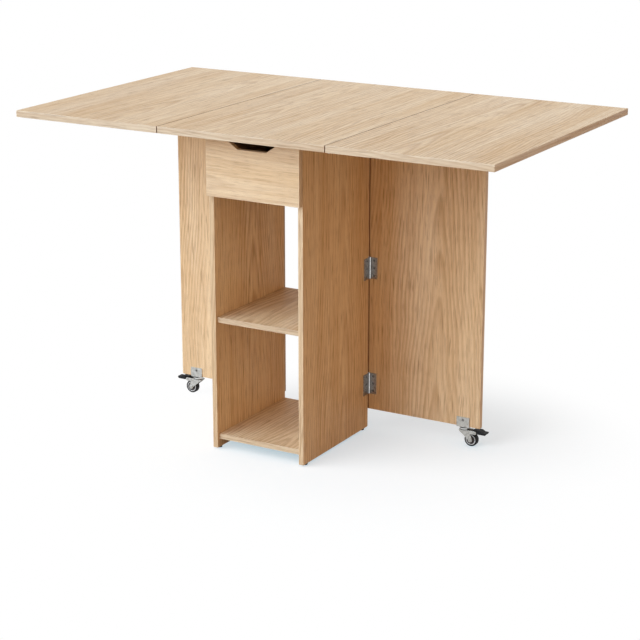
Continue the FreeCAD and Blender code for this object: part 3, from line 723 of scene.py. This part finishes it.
# %% Sweeping the outline
def sweep(skin, box, shape, profile, front=True, back=True):
    """The outline at every loop of the profile, as rows of quads, with faces where they are wanted.

    Rows on the rim get the edge band's print, and the others the face's. Rows on the rounded edge are
    shaded smooth."""
    insets, heights, rubbed = np.array(profile).T
    loops = np.array([box.place(smooth_outline(*shape, gap), height) for gap, height, _ in profile])
    rows, count = loops.shape[:2]
    spots = loops.reshape(-1, 3)
    index = np.arange(rows * count).reshape(rows, count)
    near, far = index[:-1], index[1:]
    quads = np.stack([near, np.roll(near, -1, 1), np.roll(far, -1, 1), far], 2).reshape(-1, 4)
    decor = band_print(shape, heights, box.seed)
    on_face = insets[:-1] + insets[1:] > ARRIS
    decor[on_face] = box.face_print(spots)[quads].reshape(decor.shape)[on_face]
    step = abs(np.diff(insets))
    curved = np.repeat((step > 0) & (step < WORN_WIDTH), count)
    caps = np.concatenate([index[:front, ::-1], index[rows - back:]])
    flat = spots[caps.ravel()]
    skin.add(spots, [quads, caps],
             np.concatenate([decor.reshape(-1, 3), box.face_print(flat)]),
             np.concatenate([np.repeat(rubbed, count)[quads].ravel(), np.zeros(len(flat))]),
             np.concatenate([curved, np.zeros(len(caps), bool)]))


print("a plain board is swept through", sum(len(half) for half in sweep_profile(0.0)), "loops")

# %% [markdown]
# ## Bodies and finishes
#
# The CAD model knows which body each node moves with, and its record says which finish the node has. Both
# could be listed here again, but looking them up can't get out of step with the model.


# %% Bodies and finishes
def body_of(name):
    """The CAD body that a node rides on."""
    return nodes[name]["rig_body"]


def slot_of(name):
    """The record's material slot of a node."""
    return next(part["material_slot"] for part in frame["record"]["subparts"] if part["node"] == name)


print(sum(slot_of(name) in oak for name in nodes), "oak boards among", len(nodes), "nodes")

# %% [markdown]
# ## Boards in place of CAD nodes
#
# A finished board stands for a plain CAD board. It could be joined to a parent by hand, but then it might
# miss a joint. Here it replaces the CAD node and rides on the same body, so it moves as the node would.


# %% Boards in place of CAD nodes
def board(name, thick, grain, heart, seed, outline=None, shaded_sides=(), hollows=None):
    """A decor board in the box of a CAD node: the outline moved through the loops of the profile.

    thick and grain are the axes of its thickness and its grain, heart is the heart line's place across
    the face as a share of the width, and seed tells its print from the others. gaps lists the sides with
    painted seam shade as (end, reach, depth): end 0 or 1 of the width, how far the painted shade comes in,
    and how deep it goes from the front. hollows gives pockets in the front face: their depth, the outline
    with them cut out, and the corners of each floor."""
    box = BoardBox(name, thick, grain, heart, seed)
    outline = outline or box.outline()
    lower, upper = sweep_profile(box.high[thick] - box.low[thick])
    skin = Skin()
    if hollows:
        depth, cut_outline, floors = hollows
        step = (0.0, depth, 0.0)
        for corners in floors:
            skin.add_floor(box, corners, depth)
        sweep(skin, box, cut_outline, [*lower[:-1], step], back=False)
        sweep(skin, box, outline, [step, *upper], front=False)
    else:
        sweep(skin, box, outline, lower + upper)
    mesh = skin.mesh(f"{name}_board", box.seam_shading(np.array(skin.points), shaded_sides))
    mesh.materials.append(oak[slot_of(name)])
    piece = bpy.data.objects.new(f"{name}_board", mesh)
    scene.collection.objects.link(piece)
    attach(piece, body_of(name))
    print(name, "has", len(skin.faces), "faces")
    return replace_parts(piece, name)


# %% [markdown]
# ## Top, leaves and side panels
#
# The top and its leaves are boards with the grain from front to back, and the side panels have it upright.
# They are plain boxes, so their outlines come from the CAD boxes. One long board could be cut into three for
# the top, but separate prints, with the heart in another place on each, show better that the leaves fold.

# %% Top, leaves and side panels
# Shade painted beside the seams of top and leaves: how far it comes in, and how deep it goes.
SEAM_SHADE_REACH, SEAM_SHADE_DEPTH = 0.0005, 0.04

seam_shades = [(end, SEAM_SHADE_REACH, SEAM_SHADE_DEPTH) for end in (0, 1)]
board("top_center", thick=Z, grain=Y, heart=0.30, seed=1.0, shaded_sides=seam_shades)
board("leaf_left", thick=Z, grain=Y, heart=0.65, seed=2.0, shaded_sides=seam_shades[1:])
board("leaf_right", thick=Z, grain=Y, heart=0.40, seed=3.0, shaded_sides=seam_shades[:1])
board("side_panel_left", thick=X, grain=Z, heart=0.55, seed=4.0)
board("side_panel_right", thick=X, grain=Z, heart=0.60, seed=5.0)

# %% [markdown]
# ## Gates
#
# A gate is the upright panel that swings out and carries a leaf. Each one has three shallow hollows in its
# front, which give the hinge barrels room. A Boolean modifier could cut them, but it would lose the print.
# So the front of the board has an outline with the hollows cut out, and each hollow gets a floor.

# %% Gates
# Shade painted along each gate's hinge end, where it meets the side panel: how far it comes in, and how deep.
HINGE_SHADE_REACH, HINGE_SHADE_DEPTH = 0.0046, 0.011
HINGE_LEVELS = (0.11075, 0.39075, 0.6905)
HOLLOW_HALF, HOLLOW_END = 0.0258, 0.1226
HOLLOW_DEPTH, HOLLOW_RADIUS = 0.0019, 0.0006


def barrel_hollows(name):
    """The hollows in a gate's front, as (Z, X) points from its hinge end to HOLLOW_END at every level."""
    low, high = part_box(name)
    right = low.x > 0
    outer, inner = (low.x, HOLLOW_END) if right else (high.x, -HOLLOW_END)
    spans = [(level - HOLLOW_HALF, level + HOLLOW_HALF) for level in HINGE_LEVELS]
    cuts = [[(a, outer), (a, inner), (b, inner), (b, outer)] for a, b in spans]
    corners = [(low.z, low.x), (high.z, low.x), (high.z, high.x), (low.z, high.x)]
    if right:
        near = [point for cut in cuts for point in cut]
        points = [*corners[:1], *near, *corners[1:]]
        floors = [cut[::-1] for cut in cuts]
    else:
        near = [point for cut in cuts[::-1] for point in cut[::-1]]
        points = [*corners[:3], *near, *corners[3:]]
        floors = cuts
    radii = [HOLLOW_RADIUS if point in near else CORNER_RADIUS for point in points]
    return HOLLOW_DEPTH, (points, radii), floors


# Painted shade along the hinge end of each gate.
hinge_shades = [(end, HINGE_SHADE_REACH, HINGE_SHADE_DEPTH) for end in (0, 1)]
board("gate_left", thick=Y, grain=Z, heart=0.45, seed=6.0, shaded_sides=hinge_shades[1:],
      hollows=barrel_hollows("gate_left"))
board("gate_right", thick=Y, grain=Z, heart=0.62, seed=7.0, shaded_sides=hinge_shades[:1],
      hollows=barrel_hollows("gate_right"))

# %% [markdown]
# ## Shelves and rail
#
# The two shelves and the rail behind the drawer tie the side panels together. They are plain boards, and a
# box with a Bevel modifier would do for them, but the same board function keeps their print and edges alike.

# %% Shelves and rail
board("middle_shelf", thick=Z, grain=Y, heart=0.35, seed=8.0)
board("bottom_shelf", thick=Z, grain=Y, heart=0.70, seed=9.0)
board("back_rail", thick=Y, grain=X, heart=0.50, seed=10.0)

# %% [markdown]
# ## Drawer
#
# The drawer has no knob. A finger notch in the upper edge of its front serves to pull it. A Boolean modifier
# could cut it, but four more corners in the front's outline do the same and get rounded edges as well.
# The grain of the front lies level. The sides and the back are plain boards.

# %% Drawer
NOTCH_TOP, NOTCH_BOTTOM = 0.148, 0.072
NOTCH_DEPTH, NOTCH_RADIUS = 0.026, 0.005


def drawer_front_outline():
    """The front's corners as (Z, X) with the notch in its upper side, and the radius of each corner."""
    low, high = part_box("drawer_front")
    floor_z = high.z - NOTCH_DEPTH
    notch = [(high.z, -NOTCH_TOP / 2), (floor_z, -NOTCH_BOTTOM / 2),
             (floor_z, NOTCH_BOTTOM / 2), (high.z, NOTCH_TOP / 2)]
    points = [(low.z, low.x), (high.z, low.x), *notch, (high.z, high.x), (low.z, high.x)]
    radii = [CORNER_RADIUS] * 3 + [NOTCH_RADIUS] * 2 + [CORNER_RADIUS] * 3
    return points, radii


board("drawer_front", thick=Y, grain=X, heart=0.20, seed=11.0, outline=drawer_front_outline())
board("drawer_side_left", thick=X, grain=Y, heart=0.40, seed=12.0)
board("drawer_side_right", thick=X, grain=Y, heart=0.60, seed=13.0)
board("drawer_back", thick=Y, grain=X, heart=0.50, seed=14.0)

# %% [markdown]
# ## Hardboard and beech
#
# The drawer's floor is hardboard and the dowels are beech. Both show little, so the oak print's many layers
# would be wasted on them. Fine fibres under a soft cloud are enough. They read the object's own coordinates,
# which need no unwrapping.

# %% Hardboard and beech
NOISE_LOW, NOISE_HIGH = 0.3, 0.7
CLOUD_SCALE = (9.0, 9.0, 9.0)
WOOD_SMOOTHEST, WOOD_ROUGHEST = 0.55, 0.72
FIBRE_STRENGTH, FIBRE_DEPTH = 0.10, 0.0003


def object_place(graph):
    """Coordinates in metres that move with the object."""
    return graph.node("ShaderNodeTexCoord").outputs["Object"]


def wood(name, tone, dark, scale):
    """Plain wood or board: fine fibres, with scale waves per metre on each axis, times a cloud."""
    material, graph, shader = new_material(name)
    place = object_place(graph)
    strands = graph.noise(graph.stretch(place, scale), detail=4.0, roughness=0.6)
    fibres = graph.spread(strands, NOISE_LOW, NOISE_HIGH)
    cloud = graph.noise(graph.stretch(place, CLOUD_SCALE))
    graph.feed(shader.inputs["Base Color"], graph.blend(graph.calc("MULTIPLY", fibres, cloud), tone, dark))
    graph.feed(shader.inputs["Roughness"], graph.spread(fibres, 0.0, 1.0, WOOD_SMOOTHEST, WOOD_ROUGHEST))
    graph.feed(shader.inputs["Normal"], graph.bump(fibres, FIBRE_STRENGTH, FIBRE_DEPTH))
    return material


finishes = {
    "hardboard": wood("hardboard", colour(196, 168, 130), colour(160, 130, 95), (160.0, 160.0, 160.0)),
    "beech_dowel": wood("beech", colour(222, 190, 150), colour(190, 150, 108), (30.0, 400.0, 400.0)),
}
print("woods:", *finishes)

# %% [markdown]
# ## Plastic and rubber
#
# The wheels have black rubber tyres on plastic hubs. The brake pedals and the glides are moulded plastic.
# Moulded edges are never sharp. New rounded meshes could show that, but on such small pieces it is enough
# that the Bevel node shades their edges round.

# %% Plastic and rubber
MOULDED_EDGE = 0.0014
MOULDED_GLOSS = 0.25
RUB_LOW, RUB_HIGH, RUB_SHARE = 0.52, 0.75, 0.5
GRAIN_FINER = 9
GRAIN_STRENGTH, GRAIN_DEPTH = 0.12, 0.0002


def moulded(name, tone, worn, smoothest, roughest, scale):
    """Plastic or rubber: a fine grain, and specks rubbed paler, with scale specks per metre.

    smoothest and roughest bound the roughness that the grain gives."""
    material, graph, shader = new_material(name)
    place = object_place(graph)
    specks = graph.noise(graph.stretch(place, (scale,) * 3), detail=3.0)
    grain = graph.noise(graph.stretch(place, (scale * GRAIN_FINER,) * 3))
    rub = graph.calc("MULTIPLY", graph.spread(specks, RUB_LOW, RUB_HIGH), RUB_SHARE)
    graph.feed(shader.inputs["Base Color"], graph.blend(rub, tone, worn))
    graph.feed(shader.inputs["Roughness"], graph.spread(grain, NOISE_LOW, NOISE_HIGH, smoothest, roughest))
    graph.feed(shader.inputs["Normal"], graph.bump(grain, GRAIN_STRENGTH, GRAIN_DEPTH, MOULDED_EDGE))
    shader.inputs["Specular IOR Level"].default_value = MOULDED_GLOSS
    return material


moulded_finishes = {
    "glide_plastic": moulded("black_glide", colour(26, 26, 27), colour(60, 60, 60), 0.45, 0.60, 300.0),
    "tyre_rubber": moulded("black_rubber", colour(22, 21, 22), colour(50, 48, 48), 0.58, 0.75, 350.0),
    "hub_plastic": moulded("hub_plastic", colour(58, 52, 52), colour(92, 86, 86), 0.35, 0.50, 350.0),
    "pedal_plastic": moulded("pedal_plastic", colour(16, 13, 14), colour(40, 36, 36), 0.50, 0.64, 350.0),
}
finishes.update(moulded_finishes)
print("moulded finishes:", *moulded_finishes)

# %% [markdown]
# ## Hinge barrels
#
# A hinge's barrel gets a painted highlight, and painted shade lies in the crease beside it. A mesh of its own
# could carry the painted highlight, but barrel and leaf are one piece of sheet. The distance from the pin's
# axis tells them apart.

# %% Hinge barrels
# The barrel's painted highlight, and the painted shade in the crease beside it.
BARREL_RADIUS, BARREL_BLUR = 0.0022, 0.0002
BARREL_HIGHLIGHT = colour(236, 235, 233)
CREASE_SHADE_WIDTH, CREASE_SHADE_SHARE = 0.0026, 0.8
CREASE_SHADE_TONE = colour(72, 64, 58)
GATE_PIN = (X, Y, 0.1201, 0.0090)
LEAF_PIN = (X, Z, 0.21075, 0.7325)


def painted_barrel_light(graph, place, tone, pin):
    """A painted highlight on a hinge pin's barrel, with painted shade beside it, by the distance from the
    pin's axis.

    pin gives the two axes square to the pin and its place on them, the first one on both sides of zero."""
    first, second, first_place, second_place = pin
    axes = graph.axes(place)
    aside = graph.calc("SUBTRACT", graph.calc("ABSOLUTE", axes[first]), first_place)
    ahead = graph.calc("SUBTRACT", axes[second], second_place)
    square = graph.calc("MULTIPLY_ADD", aside, aside, graph.calc("MULTIPLY", ahead, ahead))
    radius = graph.calc("SQRT", square)
    crease = graph.spread(radius, CREASE_SHADE_WIDTH, 2 * CREASE_SHADE_WIDTH, CREASE_SHADE_SHARE, 0.0)
    barrel = graph.spread(radius, BARREL_RADIUS, BARREL_RADIUS + BARREL_BLUR, 1.0, 0.0)
    return graph.blend(barrel, graph.blend(crease, tone, CREASE_SHADE_TONE), BARREL_HIGHLIGHT)


print("barrels of", BARREL_RADIUS, "m round the pins")

# %% [markdown]
# ## Steel
#
# Brackets, rims, angles, screws and hinges are zinc-plated steel, a little mottled, with rolling marks.
# A plain grey metal would look like a mirror. Noise in the colour and in the roughness breaks that up.
# The seam hinges have their pins elsewhere than the gates' hinges, so they get a steel of their own.

# %% Steel
SHEET_EDGE = 0.0003
MARK_STRETCH = (6.0, 6.0, 0.8)
MARK_STRENGTH, MARK_DEPTH = 0.06, 0.0003
HINGE_BRIGHT, HINGE_DARK = colour(186, 182, 178), colour(140, 136, 132)


def steel(name, bright, dark, smoothest, roughest, scale, pin=None, metallic=1.0):
    """Plated sheet: scale patches per metre, rolling marks, and painted light and shade on a barrel round a
    pin.

    smoothest and roughest bound the roughness that the marks give. A dull plating is less metallic, so it
    also scatters light."""
    material, graph, shader = new_material(name)
    place = object_place(graph)
    patches = graph.noise(graph.stretch(place, (scale,) * 3), detail=4.0, roughness=0.65)
    marks = graph.noise(graph.stretch(place, tuple(scale * share for share in MARK_STRETCH)))
    tone = graph.blend(graph.spread(patches, NOISE_LOW, NOISE_HIGH), bright, dark)
    if pin:
        # Painted highlight on the barrel, with painted shade beside it.
        tone = painted_barrel_light(graph, place, tone, pin)
    graph.feed(shader.inputs["Base Color"], tone)
    graph.feed(shader.inputs["Roughness"], graph.spread(marks, NOISE_LOW, NOISE_HIGH, smoothest, roughest))
    graph.feed(shader.inputs["Normal"], graph.bump(marks, MARK_STRENGTH, MARK_DEPTH, SHEET_EDGE))
    shader.inputs["Metallic"].default_value = metallic
    return material


steel_finishes = {
    "rim_steel": steel("rim_steel", colour(214, 212, 210), colour(176, 174, 172), 0.22, 0.36, 260.0),
    "caster_steel": steel("caster_steel", colour(198, 196, 190), colour(164, 163, 157), 0.28, 0.44, 180.0,
                          metallic=0.5),
    "hinge_steel": steel("gate_hinge_steel", HINGE_BRIGHT, HINGE_DARK, 0.26, 0.42, 240.0, GATE_PIN),
    "sheet_steel": steel("sheet_steel", colour(202, 203, 203), colour(166, 168, 170), 0.28, 0.46, 120.0),
    "screw_steel": steel("screw_steel", colour(136, 133, 130), colour(92, 90, 88), 0.22, 0.38, 300.0),
}
finishes.update(steel_finishes)
leaf_hinge = steel("leaf_hinge_steel", HINGE_BRIGHT, HINGE_DARK, 0.26, 0.42, 240.0, LEAF_PIN)
print("steel finishes:", *steel_finishes, leaf_hinge.name)

# %% [markdown]
# ## Swivel race
#
# Above each fork sits a swivel race: a bright steel cup between two thin joints, which lie in shade. The
# joints could be rings of their own, but they are too thin to be worth it, so the height above the floor
# paints their shade dark.

# %% Swivel race
CUP_TONE, SHADE_AND_SMEAR_TONE = colour(206, 205, 202), colour(40, 38, 38)
CUP_LOW, CUP_HIGH, CUP_BLUR = 0.0402, 0.0430, 0.0004
CUP_SMOOTHEST, CUP_ROUGHEST = 0.24, 0.42
SMEAR_SCALE = (400.0, 400.0, 900.0)
SMEAR_LOW, SMEAR_HIGH, SMEAR_SHARE = 0.60, 0.80, 0.4


def swivel_race(name):
    """A bright cup between two heights, with painted shade in the joints under and over it, and a few smears.
    """
    material, graph, shader = new_material(name)
    place = object_place(graph)
    height = graph.axes(place)[Z]
    # Painted shade in the joints under and over the cup.
    under = graph.spread(height, CUP_LOW - CUP_BLUR, CUP_LOW, 1.0, 0.0)
    over = graph.spread(height, CUP_HIGH, CUP_HIGH + CUP_BLUR, 0.0, 1.0)
    smear = graph.noise(graph.stretch(place, SMEAR_SCALE), detail=3.0)
    smears = graph.spread(smear, SMEAR_LOW, SMEAR_HIGH, 0.0, SMEAR_SHARE)
    shade_and_smears = graph.calc("MAXIMUM", graph.calc("MAXIMUM", under, over), smears)
    sheen = graph.spread(smear, NOISE_LOW, NOISE_HIGH, CUP_SMOOTHEST, CUP_ROUGHEST)
    graph.feed(shader.inputs["Base Color"], graph.blend(shade_and_smears, CUP_TONE, SHADE_AND_SMEAR_TONE))
    graph.feed(shader.inputs["Roughness"], sheen)
    shader.inputs["Metallic"].default_value = 1.0
    return material


finishes["race_steel"] = swivel_race("race_steel")
print("cups between", CUP_LOW, "and", CUP_HIGH, "m above the floor")

# %% [markdown]
# ## Finishes on the CAD pieces
#
# The small pieces keep their CAD shapes. Their finishes could be listed piece by piece, but the record
# already says which finish each of them has, so the script looks it up there.


# %% Finishes on the CAD pieces
def finish_of(name):
    """The finish of a CAD piece, or None for a board, which has its own."""
    return leaf_hinge if name.startswith("leaf_hinge") else finishes.get(slot_of(name))


dressed = [name for name in nodes if finish_of(name)]
for name in dressed:
    materials = nodes[name].data.materials
    materials.clear()
    materials.append(finish_of(name))
print(len(dressed), "CAD pieces dressed")

# %% [markdown]
